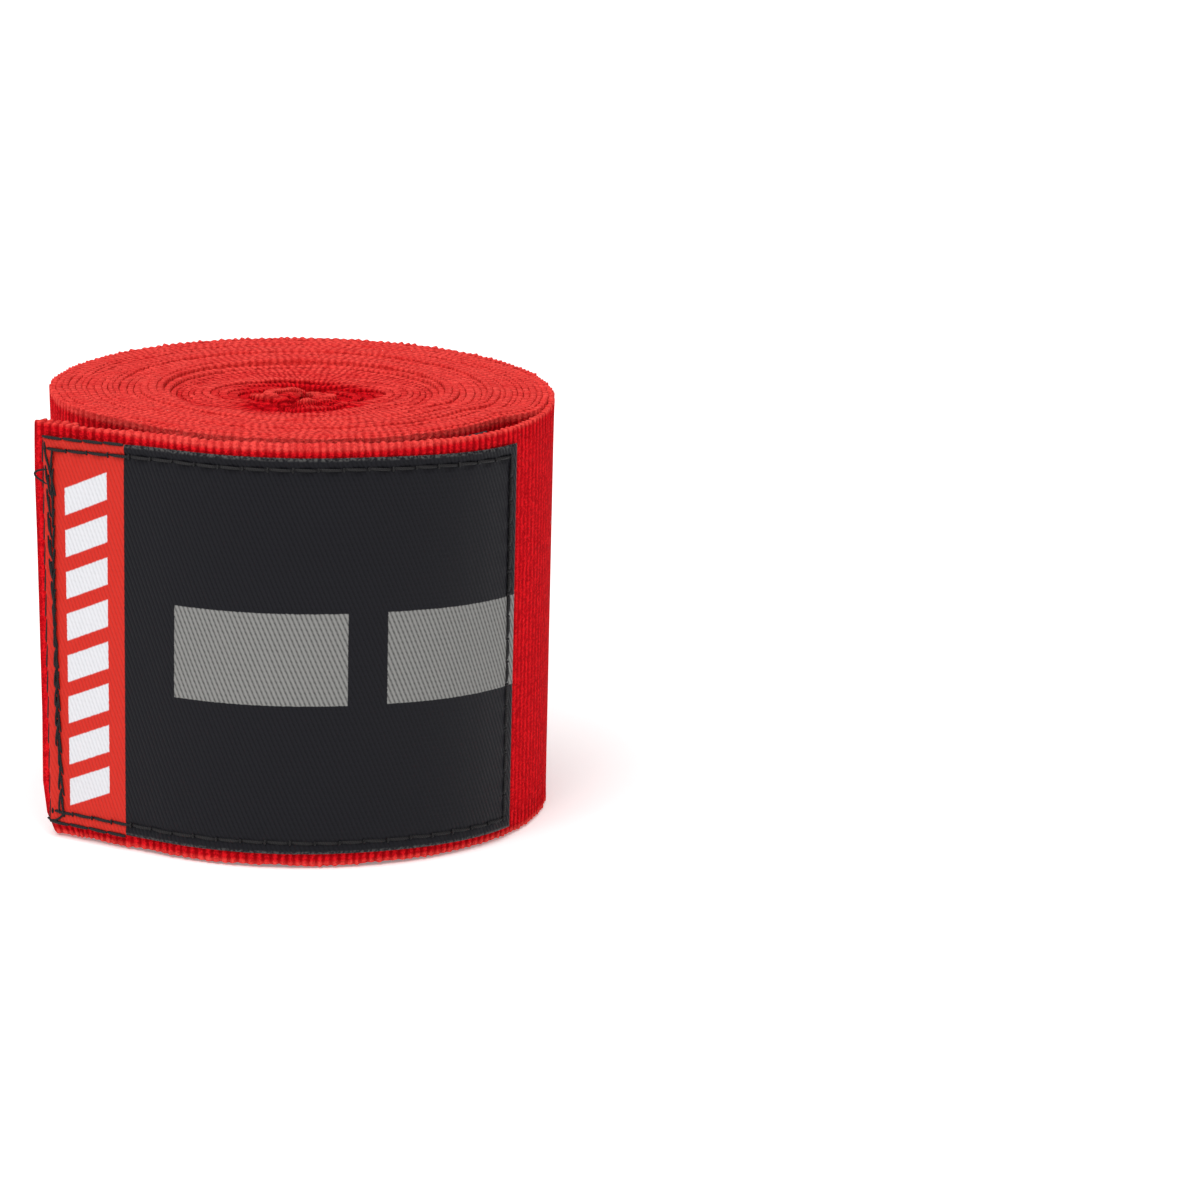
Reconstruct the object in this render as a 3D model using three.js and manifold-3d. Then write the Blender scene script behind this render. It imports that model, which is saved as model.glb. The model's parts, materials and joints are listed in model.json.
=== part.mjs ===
// A hand wrap for boxing: a long strip of elastic cotton, rolled up for storage and
// standing on one end of the roll. The last stretch of the strip is a closing flap. It
// carries a satin label outside and a hook tape inside, and it closes on a loop tape
// that is sewn to the turn below it. A thumb loop is folded up at the roll's centre.
//
// Millimetres, +Z up along the roll's axis, and the resting end on z = 0. The label faces
// -Y. The strip winds outwards clockwise, seen from above.

import * as THREE from 'three';
import { mergeVertices } from 'three/addons/utils/BufferGeometryUtils.js';
import Module from 'manifold-3d';

// Driving dimensions
const STRIP_WIDTH = 50;
const CLOTH_THICKNESS = 0.85;
const ROLL_OUTER_RADIUS = 29.7;
const TAPE_THICKNESS = 0.7;
const LABEL_THICKNESS = 0.45;
const THREAD_DIAMETER = 0.4;
const REST_GAP = 0.15; // between two layers that lie on each other
const CLOSURE_GAP = 0.7; // between the two tapes, where the hooks meet the loops
const HINGE_GAP = 0.3; // between two bodies, where the cloth bends
const FLOOR_GAP = 0.3; // the flap hangs just clear of the resting surface

// Angles round the roll, in degrees from +X and anticlockwise seen from above
const FLAP_START = -33; // the flap leaves the roll here
const FLAP_FOLD = -92.5; // the flap's own fold, half way along the label
const FLAP_LEAVES = -122; // the closed flap runs straight on from here
const LABEL_START = -35;
const LOOP_TAPE_START = -38;
const LOOP_TAPE_END = -141;
const CLIMB_START = -132; // the outer turn climbs off its seat between these two
const CLIMB_END = -171;

// Lengths of the flap's straight end
const STRIP_TAIL = 17;
const LABEL_TAIL = 15.8;
const HEM_LENGTH = 5; // the strip's end, folded back on itself
const HEM_THICKNESS = 1.5;

// The layers of the closure, from the outside in
const LABEL_INNER = ROLL_OUTER_RADIUS + REST_GAP;
const LABEL_OUTER = LABEL_INNER + LABEL_THICKNESS;
const STRIP_INNER = ROLL_OUTER_RADIUS - CLOTH_THICKNESS;
const HOOK_OUTER = STRIP_INNER - REST_GAP;
const HOOK_INNER = HOOK_OUTER - TAPE_THICKNESS;
const LOOP_OUTER = HOOK_INNER - CLOSURE_GAP;
const SEAT_RADIUS = LOOP_OUTER - TAPE_THICKNESS - REST_GAP;
const CLIMB_TOP = ROLL_OUTER_RADIUS - 0.4;

// The threads lie on the faces that they are sewn through
const THREAD_LIFT = REST_GAP + THREAD_DIAMETER / 2;
const THREAD_SIDES = 8;
const SEAM_DIVISIONS = 8; // straight stretches of thread down the strip's width
const NEEDLE_RADIUS = LABEL_OUTER + THREAD_LIFT;
const BOBBIN_RADIUS = HOOK_INNER - THREAD_LIFT;
const TAPE_SEAM_RADIUS = LOOP_OUTER + THREAD_LIFT;
const FOLD_RADIUS = NEEDLE_RADIUS + THREAD_DIAMETER / 2;

// Measured in from the strip's two edges
const TAPE_MARGIN = 1.4;
const LABEL_MARGIN = 1.8;
const LABEL_SEAM_MARGIN = 3.3;
const TAPE_SEAM_MARGIN = 2.3;

// Measured along the flap, in from the end of the piece that is sewn
const END_SEAM_SETBACK = 0.9;
const END_ROW_SPACING = 0.8;
const END_ROW_SETBACK = 1.5; // the end rows stop this far short of the seam's two corners
const TAPE_SEAM_SETBACK = 3; // degrees

// The hollow at the roll's centre, and the thumb loop wound up in it
const THUMB_LOOP_RADIUS = 6.4;
const THUMB_BAND_THICKNESS = 1;
const THUMB_BAND_WIDTH = 15;
const THUMB_LOOP_SLIT = 0.4;
const THUMB_LOOP_ANGLES = [-20, 300];
const HOLLOW_CLEARANCE = 0.3;
const PINCH_LENGTH = 11; // the folded opening in the upper end of the roll
const PINCH_WIDTH = 3;
const PINCH_TURN = 160;
const BAR_TACK_DIAMETER = 0.8;
const BAR_TACK_SETBACK = 20; // degrees, from the loop's end
const BAR_TACK_MARGIN = 1.5; // from the band's two edges

const CLOTH = { color: 0xc8161c, roughness: 0.9 };
const LABEL = { color: 0x1c1d21, roughness: 0.45 };
const HOOKS = { color: 0x232326, roughness: 0.7 };
const LOOPS = { color: 0x303034, roughness: 0.95 };
const THREAD = { color: 0x101012, roughness: 0.6 };
const LOOP_BAND = { color: 0xb01218, roughness: 0.9 };

const { degToRad, radToDeg, smoothstep } = THREE.MathUtils;

const wasm = await Module();
wasm.setup();

function node(name, geometry, finish) {
  const material = new THREE.MeshStandardMaterial({ ...finish, metalness: 0 });
  const mesh = new THREE.Mesh(geometry, material);
  mesh.name = name;
  return mesh;
}

// A point round the roll, from its angle and radius.
function polar(angle, radius) {
  const turn = degToRad(angle);
  return new THREE.Vector2(radius * Math.cos(turn), radius * Math.sin(turn));
}

// Unit vector along the winding direction, clockwise seen from above.
function windingDirection(angle) {
  const turn = degToRad(angle);
  return new THREE.Vector2(Math.sin(turn), -Math.cos(turn));
}

// The roll's outline: the seat under the tapes, then a climb to the full radius where the
// strip passes over into the flap, one whole turn further on.
function rollRadius(angle) {
  const climb = smoothstep(CLIMB_START - angle, 0, CLIMB_START - CLIMB_END);
  const past = Math.max(0, CLIMB_END - angle) / (CLIMB_END - (FLAP_START - 360));
  const top = THREE.MathUtils.lerp(CLIMB_TOP, ROLL_OUTER_RADIUS, past);
  return THREE.MathUtils.lerp(SEAT_RADIUS, top, climb);
}

// Points along an arc. The radius is a number, or a function of the angle.
function arcPoints(radius, from, to, step = 4) {
  const count = Math.max(1, Math.round(Math.abs(to - from) / step));
  return Array.from({ length: count + 1 }, (_, i) => {
    const angle = from + ((to - from) * i) / count;
    return polar(angle, typeof radius === 'function' ? radius(angle) : radius);
  });
}

// An arc that runs straight on from its end.
function arcWithTail(radius, from, to, tail) {
  const points = arcPoints(radius, from, to);
  if (tail > 0) {
    points.push(points.at(-1).clone().addScaledVector(windingDirection(to), tail));
  }
  return points;
}

// Stands a closed outline up between two heights.
function upright(outline, bottom, top) {
  const depth = top - bottom;
  const geometry = new THREE.ExtrudeGeometry(new THREE.Shape(outline), {
    depth,
    bevelEnabled: false,
  });
  return geometry.translate(0, 0, bottom);
}

// A curved layer of cloth or tape between two radii and two angles.
function layer({ inner, outer, from, to, margin, tail = 0 }) {
  const outside = arcWithTail(outer, from, to, tail);
  const inside = arcWithTail(inner, from, to, tail);
  return upright([...outside, ...inside.reverse()], margin, STRIP_WIDTH - margin);
}

// Half a hinge gap, as an angle at the given radius.
function gapAngle(radius) {
  return radToDeg(HINGE_GAP / 2 / radius);
}

// A round thread along a list of points.
function thread(points, diameter = THREAD_DIAMETER) {
  const section = Array.from({ length: THREAD_SIDES }, (_, i) =>
    polar((360 * i) / THREAD_SIDES, diameter / 2),
  );
  return new THREE.ExtrudeGeometry(new THREE.Shape(section), {
    steps: 2 * (points.length - 1),
    extrudePath: new THREE.CatmullRomCurve3(points, false, 'centripetal'),
    bevelEnabled: false,
  });
}

// A row of stitches that goes out along the upper edge, down, and back along the lower
// edge. Its corners are rounded off by the thread's own curve.
function seamRound({ radius, from, to, margin, tail = 0 }) {
  const row = arcWithTail(radius, from, to, tail);
  const rise = (STRIP_WIDTH - 2 * margin) / SEAM_DIVISIONS;
  const at = (point, height) => new THREE.Vector3(point.x, point.y, height);
  const upper = row.map((point) => at(point, STRIP_WIDTH - margin));
  const down = Array.from({ length: SEAM_DIVISIONS - 1 }, (_, i) =>
    at(row.at(-1), STRIP_WIDTH - margin - rise * (i + 1)),
  );
  const lower = row.map((point) => at(point, margin)).reverse();
  return thread([...upper, ...down, ...lower]);
}

// manifold-3d's solid of a closed geometry.
function solid(geometry) {
  const bare = geometry.clone();
  bare.deleteAttribute('normal');
  bare.deleteAttribute('uv');
  const merged = mergeVertices(bare);
  return new wasm.Manifold(
    new wasm.Mesh({
      numProp: 3,
      vertProperties: new Float32Array(merged.attributes.position.array),
      triVerts: new Uint32Array(merged.index.array),
    }),
  );
}

function geometryOf(manifold) {
  const mesh = manifold.getMesh();
  const geometry = new THREE.BufferGeometry();
  geometry.setAttribute('position', new THREE.BufferAttribute(mesh.vertProperties, 3));
  geometry.setIndex(new THREE.BufferAttribute(mesh.triVerts, 1));
  geometry.computeVertexNormals();
  return geometry;
}

const THUMB_BAND_BOTTOM = (STRIP_WIDTH - THUMB_BAND_WIDTH) / 2;
const THUMB_BAND_TOP = THUMB_BAND_BOTTOM + THUMB_BAND_WIDTH;

// The rolled-up turns, as one body. A round chamber at mid height holds the thumb loop,
// and a narrow folded opening leads down to it from the upper end.
function rolledStrip() {
  const outline = arcPoints(rollRadius, FLAP_START, FLAP_START - 360);
  const turns = solid(upright(outline, 0, STRIP_WIDTH));
  const chamberOutline = arcPoints(THUMB_LOOP_RADIUS + HOLLOW_CLEARANCE, 0, 350, 10);
  const chamberHeights = [THUMB_BAND_BOTTOM - HOLLOW_CLEARANCE, THUMB_BAND_TOP + HOLLOW_CLEARANCE];
  const chamber = solid(upright(chamberOutline, ...chamberHeights));
  const straight = (PINCH_LENGTH - PINCH_WIDTH) / 2;
  const pinchOutline = [1, -1].flatMap((side) =>
    arcPoints(PINCH_WIDTH / 2, side * 90, side * 90 - 180, 15).map((point) =>
      point.add(new THREE.Vector2(side * straight, 0)),
    ),
  );
  const pinch = upright(pinchOutline, STRIP_WIDTH / 2, STRIP_WIDTH + 1).rotateZ(degToRad(PINCH_TURN));
  return geometryOf(turns.subtract(chamber).subtract(solid(pinch)));
}

// A flat loop of band wound round on itself. Its two runs are joined at both ends.
function thumbLoop() {
  const [from, to] = THUMB_LOOP_ANGLES;
  const outerRunInner = THUMB_LOOP_RADIUS - THUMB_BAND_THICKNESS;
  const innerRunOuter = outerRunInner - THUMB_LOOP_SLIT;
  const innerRunInner = innerRunOuter - THUMB_BAND_THICKNESS;
  const outline = [
    ...arcPoints(THUMB_LOOP_RADIUS, from, to, 8),
    ...arcPoints(innerRunInner, to, from, 8),
  ];
  const foldAngle = radToDeg(THUMB_BAND_THICKNESS / THUMB_LOOP_RADIUS);
  const slit = [
    ...arcPoints(outerRunInner, from + foldAngle, to - foldAngle, 8),
    ...arcPoints(innerRunOuter, to - foldAngle, from + foldAngle, 8),
  ];
  const band = solid(upright(outline, THUMB_BAND_BOTTOM, THUMB_BAND_TOP));
  const slot = solid(upright(slit, THUMB_BAND_BOTTOM - 1, THUMB_BAND_TOP + 1));
  return geometryOf(band.subtract(slot));
}

// The dense stitches that close the loop, as one upright bar on its inner face.
function barTack() {
  const [, to] = THUMB_LOOP_ANGLES;
  const clear = 2 * THUMB_BAND_THICKNESS + THUMB_LOOP_SLIT + REST_GAP + BAR_TACK_DIAMETER / 2;
  const foot = polar(to - BAR_TACK_SETBACK, THUMB_LOOP_RADIUS - clear);
  const bar = new THREE.CylinderGeometry(
    BAR_TACK_DIAMETER / 2,
    BAR_TACK_DIAMETER / 2,
    THUMB_BAND_WIDTH - 2 * BAR_TACK_MARGIN,
    THREAD_SIDES,
  );
  return bar.rotateX(Math.PI / 2).translate(foot.x, foot.y, STRIP_WIDTH / 2);
}

// The free end of the strip, with its hem folded inwards.
function flapEndStrip() {
  const from = FLAP_FOLD - gapAngle(ROLL_OUTER_RADIUS);
  const outside = arcWithTail(ROLL_OUTER_RADIUS, from, FLAP_LEAVES, STRIP_TAIL);
  const inside = arcWithTail(STRIP_INNER, from, FLAP_LEAVES, STRIP_TAIL - HEM_LENGTH);
  const inwards = polar(FLAP_LEAVES, -(HEM_THICKNESS - CLOTH_THICKNESS));
  const hemStart = inside.at(-1).clone().add(inwards);
  const hemEnd = hemStart.clone().addScaledVector(windingDirection(FLAP_LEAVES), HEM_LENGTH);
  const outline = [...outside, hemEnd, hemStart, ...inside.reverse()];
  return upright(outline, FLOOR_GAP, STRIP_WIDTH - FLOOR_GAP);
}

// Two upright rows of stitches beside the end row, sewn as one thread.
function endRows() {
  const rowPoint = (row) => {
    const setback = END_SEAM_SETBACK + row * END_ROW_SPACING;
    return polar(FLAP_LEAVES, NEEDLE_RADIUS).addScaledVector(
      windingDirection(FLAP_LEAVES),
      LABEL_TAIL - setback,
    );
  };
  const low = LABEL_SEAM_MARGIN + END_ROW_SETBACK;
  const heights = Array.from(
    { length: SEAM_DIVISIONS },
    (_, i) => low + ((STRIP_WIDTH - 2 * low) * i) / (SEAM_DIVISIONS - 1),
  );
  const column = (row) =>
    heights.map((height) => new THREE.Vector3(rowPoint(row).x, rowPoint(row).y, height));
  return thread([...column(1), ...column(2).reverse()]);
}

// Everything that stays still: the roll, and the tape sewn to the turn under the flap,
// which the hooks grip. The tape ends a little past the flap.
const roll = new THREE.Group();
roll.add(
  node('rolled_strip', rolledStrip(), CLOTH),
  node('thumb_loop', thumbLoop(), LOOP_BAND),
  node('thumb_loop_bar_tack', barTack(), THREAD),
  node(
    'loop_tape',
    layer({
      inner: (angle) => rollRadius(angle) + REST_GAP,
      outer: (angle) => rollRadius(angle) + REST_GAP + TAPE_THICKNESS,
      from: LOOP_TAPE_START,
      to: LOOP_TAPE_END,
      margin: TAPE_MARGIN,
    }),
    LOOPS,
  ),
  node(
    'loop_tape_seam',
    seamRound({
      radius: (angle) => rollRadius(angle) + TAPE_SEAM_RADIUS - SEAT_RADIUS,
      from: LOOP_TAPE_START - TAPE_SEAM_SETBACK,
      to: LOOP_TAPE_END + TAPE_SEAM_SETBACK,
      margin: TAPE_SEAM_MARGIN,
    }),
    THREAD,
  ),
);

const labelSeamStart = LABEL_START - radToDeg(END_SEAM_SETBACK / LABEL_OUTER);

// The half of the flap next to the roll.
const flap = new THREE.Group();
flap.add(
  node(
    'flap_strip',
    layer({
      inner: STRIP_INNER,
      outer: ROLL_OUTER_RADIUS,
      from: FLAP_START - 2 * gapAngle(ROLL_OUTER_RADIUS),
      to: FLAP_FOLD + gapAngle(ROLL_OUTER_RADIUS),
      margin: FLOOR_GAP,
    }),
    CLOTH,
  ),
  node(
    'hook_tape',
    layer({
      inner: HOOK_INNER,
      outer: HOOK_OUTER,
      from: LABEL_START,
      to: FLAP_FOLD + gapAngle(HOOK_INNER),
      margin: TAPE_MARGIN,
    }),
    HOOKS,
  ),
  node(
    'label',
    layer({
      inner: LABEL_INNER,
      outer: LABEL_OUTER,
      from: LABEL_START,
      to: FLAP_FOLD + gapAngle(LABEL_INNER),
      margin: LABEL_MARGIN,
    }),
    LABEL,
  ),
  node(
    'label_seam',
    seamRound({
      radius: NEEDLE_RADIUS,
      from: FLAP_FOLD + gapAngle(NEEDLE_RADIUS),
      to: labelSeamStart,
      margin: LABEL_SEAM_MARGIN,
    }),
    THREAD,
  ),
  node(
    'hook_side_seam',
    seamRound({
      radius: BOBBIN_RADIUS,
      from: FLAP_FOLD + gapAngle(BOBBIN_RADIUS),
      to: labelSeamStart,
      margin: LABEL_SEAM_MARGIN,
    }),
    THREAD,
  ),
);

// The outer half of the flap, with the free end.
const flapEnd = new THREE.Group();
flapEnd.add(
  node('flap_end_strip', flapEndStrip(), CLOTH),
  node(
    'hook_tape_end',
    layer({
      inner: HOOK_INNER,
      outer: HOOK_OUTER,
      from: FLAP_FOLD - gapAngle(HOOK_INNER),
      to: FLAP_LEAVES,
      tail: STRIP_TAIL - HEM_LENGTH - HINGE_GAP,
      margin: TAPE_MARGIN,
    }),
    HOOKS,
  ),
  node(
    'label_end',
    layer({
      inner: LABEL_INNER,
      outer: LABEL_OUTER,
      from: FLAP_FOLD - gapAngle(LABEL_INNER),
      to: FLAP_LEAVES,
      tail: LABEL_TAIL,
      margin: LABEL_MARGIN,
    }),
    LABEL,
  ),
  node(
    'label_end_seam',
    seamRound({
      radius: NEEDLE_RADIUS,
      from: FLAP_FOLD - gapAngle(NEEDLE_RADIUS),
      to: FLAP_LEAVES,
      tail: LABEL_TAIL - END_SEAM_SETBACK,
      margin: LABEL_SEAM_MARGIN,
    }),
    THREAD,
  ),
  node('flap_end_rows', endRows(), THREAD),
  node(
    'hook_side_end_seam',
    seamRound({
      radius: BOBBIN_RADIUS,
      from: FLAP_FOLD - gapAngle(BOBBIN_RADIUS),
      to: FLAP_LEAVES,
      tail: STRIP_TAIL - HEM_LENGTH - HINGE_GAP - END_SEAM_SETBACK,
      margin: LABEL_SEAM_MARGIN,
    }),
    THREAD,
  ),
);

const handWrap = new THREE.Group();
handWrap.add(roll, flap, flapEnd);

export default handWrap;
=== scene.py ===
"""A rolled-up boxing hand wrap with its hook-and-loop closing flap.

The red elastic cotton strip is a real spiral of turns, the flap carries a woven satin
label, lockstitched round its edge, and closes with hooks on a looped tape. Run as a
script in Blender 4.5. Lengths inside the shape functions are millimetres, angles round
the roll are degrees, and every mesh is written in metres in the frame of the model.
"""

import json
import math

import bpy
import numpy as np
from bpy.props import FloatProperty, FloatVectorProperty, IntProperty, PointerProperty
from mathutils import Matrix, Vector


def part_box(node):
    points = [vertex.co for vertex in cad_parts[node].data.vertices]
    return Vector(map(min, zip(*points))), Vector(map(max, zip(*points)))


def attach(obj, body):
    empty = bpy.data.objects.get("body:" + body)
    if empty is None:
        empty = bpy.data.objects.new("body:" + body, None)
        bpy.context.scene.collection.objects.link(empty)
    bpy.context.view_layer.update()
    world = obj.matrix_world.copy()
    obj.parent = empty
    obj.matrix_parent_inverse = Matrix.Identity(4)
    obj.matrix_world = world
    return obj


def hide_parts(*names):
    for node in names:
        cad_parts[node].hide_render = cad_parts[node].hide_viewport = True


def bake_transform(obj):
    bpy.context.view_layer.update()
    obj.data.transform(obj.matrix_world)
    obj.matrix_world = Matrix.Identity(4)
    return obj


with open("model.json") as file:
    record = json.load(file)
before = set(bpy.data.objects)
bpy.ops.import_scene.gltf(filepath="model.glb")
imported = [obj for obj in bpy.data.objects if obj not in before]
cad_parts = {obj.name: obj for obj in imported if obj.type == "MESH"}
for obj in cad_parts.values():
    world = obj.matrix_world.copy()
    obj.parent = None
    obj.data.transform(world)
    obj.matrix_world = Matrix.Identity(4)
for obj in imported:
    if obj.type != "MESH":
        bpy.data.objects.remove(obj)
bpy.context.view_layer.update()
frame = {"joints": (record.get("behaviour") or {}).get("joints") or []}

bl_info = {
    "name": "Rolled hand wrap",
    "version": (1, 0, 0),
    "blender": (4, 5, 0),
    "location": "View3D > Sidebar > Hand Wrap",
    "description": "Builds a rolled boxing hand wrap round its fixed frame",
    "category": "Add Mesh",
}

MM = 0.001


def node_heights(node):
    """Lower and upper end of a frame node, in millimetres."""
    low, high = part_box(node)
    return float(low[2]) / MM, float(high[2]) / MM


def joint_place(name):
    """Angle round the roll in degrees, and radius in millimetres, of a joint's axis."""
    joint = next(j for j in frame["joints"] if j["name"] == name)
    x, y = joint["pos_m"][0] / MM, joint["pos_m"][1] / MM
    return math.degrees(math.atan2(y, x)), math.hypot(x, y)


# Places that the frame gives
PIVOT_ANGLE, ROLL_RADIUS = joint_place("flap_peel")
FOLD_ANGLE, FOLD_RADIUS = joint_place("flap_fold")
STRIP_LOW, STRIP_HIGH = node_heights("flap_strip")
LABEL_LOW, LABEL_HIGH = node_heights("label")
TAPE_LOW, TAPE_HIGH = node_heights("hook_tape")
THUMB_LOW, THUMB_HIGH = node_heights("thumb_loop")
ROLL_HEIGHT = node_heights("rolled_strip")[1]

# The flap follows the roll from its hinge, and then runs straight on
FLAP_LEAVES = -122.0  # angle round the roll where the straight part starts
STRAIGHT_LENGTH = 17.0
ARC_LENGTH = math.radians(PIVOT_ANGLE - FLAP_LEAVES) * ROLL_RADIUS
FLAP_LENGTH = ARC_LENGTH + STRAIGHT_LENGTH
SPLIT = 14.0  # along the flap, where the cloth passes from one piece to the next
STRIP_SAG = 0.55  # its upper edge runs lower where it leaves the roll
SAG_ENDS = (0.0, 26.0)  # and comes back up between these places along it
END_DROP = 0.65  # the free end's upper edge runs this much lower
END_SLANT = 1.5  # and its end is this much longer at the top than at the bottom
END_REACH, CORNER_PULL = 0.45, 1.3  # the end reaches out, its lower corner is drawn in
EDGE_WANDER = 0.10  # how far the cut edges stray
HEM_GAP = 0.03  # half the space inside the hem's fold

# The bodies that a piece belongs to. A piece on one rides on it; a piece on two is listed
# with the joint's angle and radius round the roll, and a length along the flap
ON_ROLL, ON_END = ("roll",), ("flap_end",)
OVER_HINGE, OVER_FOLD = ("roll", "flap"), ("flap", "flap_end")
BENDS = {
    OVER_HINGE: (PIVOT_ANGLE, ROLL_RADIUS, 1.2),
    OVER_FOLD: (FOLD_ANGLE, FOLD_RADIUS, 16.0),
}

# The roll. An unwound angle counts the degrees along the strip, from the hinge inwards
HOLLOW_RADIUS = 7.0  # the innermost turn, round the thumb loop at mid height
CORE_RADIUS = 1.1  # the same turn at the roll's two ends, where it is pinched shut
SPREAD_RADIUS = 21.0  # turns outside this radius stand straight and are not spread
# A turn has its pinched radius up to the first of these distances from an edge of the
# strip, and its own beyond the second
PINCH = (1.0, 12.5)
SWIRL, SWIRL_RADIUS = 30.0, 5.0  # degrees that the lobes turn on, dying out over a radius
RIPPLE = 9.0  # degrees by which neighbouring turns differ
LOOSE_TURNS = 0.16  # how far the inner turns stand off at random
LOBES = ((0.26, 4, 14), (0.54, 2, 2), (0.17, 1, 68), (0.20, 3, 41))  # size, count, angle
LOBE_SHARE = 0.58  # how far the lobes stand out, as a share of the turn's radius
LOBE_RADIUS = 18.0  # and the radius where they have died out
PACKED_CLOTH = 1.2  # the cloth swells to this at the roll's ends, where it has room
THINNEST_CLOTH = 0.12  # and is pressed to no less than this
RIM_FLARE = 0.4  # the outer turns spread by this much at the roll's ends
FLARE_STARTS, FLARE_STOPS = (60.0, 100.0), (212.0, 222.0)  # unwound angles of its ends
FLARE_RADII = (20.0, 28.0)  # it grows from the first of these radii to the second
SEAT_DEPTH = 2.5  # how far the turns are pressed in under the tapes
SEAT_FALLS = (222.0, 262.0)  # unwound angles between which a turn sinks to the seat
SEAT_RISES = 16.0  # and the angle past the seat over which it comes back up
SEAT_FADES = 10800.0  # and the angle over which the dip dies out towards the centre
OUTER_TURN_START = 60.0  # unwound angle where the finely ribbed outer turn begins
TURNS_START = 430.0  # and where the plain inner turns begin
INNER_LENGTHS = 4  # the number of pieces that these are cut into

# How far the strip's edges stand in from the roll's ends: every turn, and then what the
# inner turns, the centre and the folds between the lobes add
EDGE_BELOW = (0.22, 0.35, 0.5, 1.0)
EDGE_ABOVE = (0.20, 0.75, 0.45, 3.0)
INNER_STEP, CENTRE_STEP = (15.6, 17.4), (6.0, 11.0)  # the radii of these two steps
CENTRE_UNEVEN = 0.8  # how unevenly the turns stand about the pinched centre
SELVEDGE_BUMP = 0.18  # height of the bumps in which the ribs end
LOWER_BUMPS = 0.45  # the bumps' share at the edge that stands on the floor
TURN_BUMP = 0.07  # and their height on the turns inside, where they are pressed flat

# The label, in millimetres along the flap from its hinge
LABEL_FROM = math.radians(2) * ROLL_RADIUS
LABEL_TO = ARC_LENGTH + 15.8
LABEL_RISE = 0.06  # of its underside over the cloth
LABEL_DROP = 0.75  # its upper edge runs this much lower at the free end
LABEL_SAG, TOP_SAG = 0.45, 0.4  # at the hinge it sits lower, and more so at the top
LABEL_SLANT = 0.95  # its free end is this much longer at the top than at the bottom
SLANT_FROM, SAG_TO = LABEL_TO - 18.0, 24.0  # where those two changes begin and end
SEAM_INSET = 1.35  # of the seam from the label's edge
PANEL_START = LABEL_TO - 11.0  # where the red end panel begins
BAR_START, BAR_END = LABEL_TO - 8.7, LABEL_TO - 3.0  # the column of bars, along the flap
BAR_HEIGHTS = (5.7, 45.7)  # its lower and upper end
BAR_PITCH = 5.0  # from one bar to the next
BAR_SHARE = 0.64  # of the pitch that a bar takes up
BAR_SLANT = 0.42  # how far a bar falls in a millimetre
BLOCKS = ((24.2, 44.2), (-1.0, 19.6))  # each block along the label
BLOCK_HEIGHTS = (19.4, 30.2)
# Each row at the label's free end: its inset above and below, and how far it starts and
# ends past the seam's corners
END_ROWS = (
    (0.06, 0.10, -1.2, 1.3), (0.45, 1.80, 0.2, 1.0), (1.20, 1.60, -0.3, -0.2),
    (0.90, 1.95, -0.6, -3.0), (1.45, 1.35, 8.0, 0.2),
)
# Bits of thread, as three places each: along the flap, height and rise
LOOSE_THREADS = (
    ((61.2, 44.4, 0.35), (64.6, 43.9, 0.9), (61.3, 42.6, 0.35)),
    ((59.6, 3.3, 0.55), (61.0, 1.5, 0.75), (62.3, 2.1, 0.25)),
    ((61.6, 46.6, 0.45), (60.6, 44.0, 0.85), (60.2, 41.4, 0.50)),
)

# The tapes
TAPE_GROUND = 0.46  # thickness of the woven ground
HOOK_FACE = 1.36  # depth of the hook tape's face under the flap's outer face
HOOK_TO = ARC_LENGTH + 11.1  # its end along the flap
BARE_EDGE = 2.9  # of the hook tape, where no hooks stand
# A hook's centre line, as heights over the tape and reaches to its side, and its radii
HOOK_RISE = (-0.05, 0.18, 0.33, 0.42, 0.38, 0.27)
HOOK_REACH = (0.0, 0.01, 0.04, 0.14, 0.23, 0.27)
HOOK_RADII = (0.085, 0.08, 0.075, 0.075, 0.07, 0.05)
LOOP_FROM, LOOP_TO = 252.0, 355.0  # unwound angles of the loop tape's two ends
LOOP_CURL = 9.0  # the angle over which its free end stands off
LOOP_REACH, LOOP_HEIGHT = (0.22, 0.46), (0.20, 0.40)  # half length and height of a loop
LOOP_DRIFT, LOOP_RADIUS = 0.3, 0.055  # how far its crown leans, and the filament's radius
PILE_ENDS, PILE_EDGE = (4.2, 2.5), 1.7  # degrees and millimetres left bare round the pile
LOOP_SEAM = (2.0, 0.9)  # inset of its seam, in degrees at the ends and in millimetres

# The thumb loop, a closed band pressed flat round the roll's centre
THUMB_ANGLES = (-20.0, 300.0)
THUMB_RUNS = (4.50, 5.92)  # radii of its inner and its outer run
THUMB_CLOTH = 0.86  # the thickness of its cloth
TACK_ENDS = (27.0, 12.0)  # degrees before the band's end between which the bar tack lies
TACK_PITCH, TACK_INSET = 0.42, 1.8  # of its stitches, and from the band's edges

# Light: an even sky, a broad ceiling light, and softboxes by name, place, size and power
SKY_STRENGTH = 0.24
CEILING_STRENGTH = 2.7
CEILING_ANGLE = math.radians(70)
CEILING_TURN = (math.radians(16), math.radians(-8), 0)
SOFTBOXES = (
    ("key", (-0.45, -0.75, 0.75), 0.5, 2.0),
    ("fill", (0.85, -0.60, 0.45), 0.5, 0.8),
)
FLOOR_HALF, FLOOR_DROP = 3000.0, 0.05  # half the floor's side, and how far down it lies


def metres(name, description, default):
    """A length property, in metres."""
    return FloatProperty(name=name, description=description, default=default, unit="LENGTH")


def degrees(name, description, default):
    """An angle property. Its default is given in degrees."""
    default = math.radians(default)
    return FloatProperty(name=name, description=description, default=default, unit="ROTATION")


def swatch(name, description, default):
    """A colour property, in linear values."""
    return FloatVectorProperty(
        name=name, description=description, default=default, subtype="COLOR", min=0, max=1
    )


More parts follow.
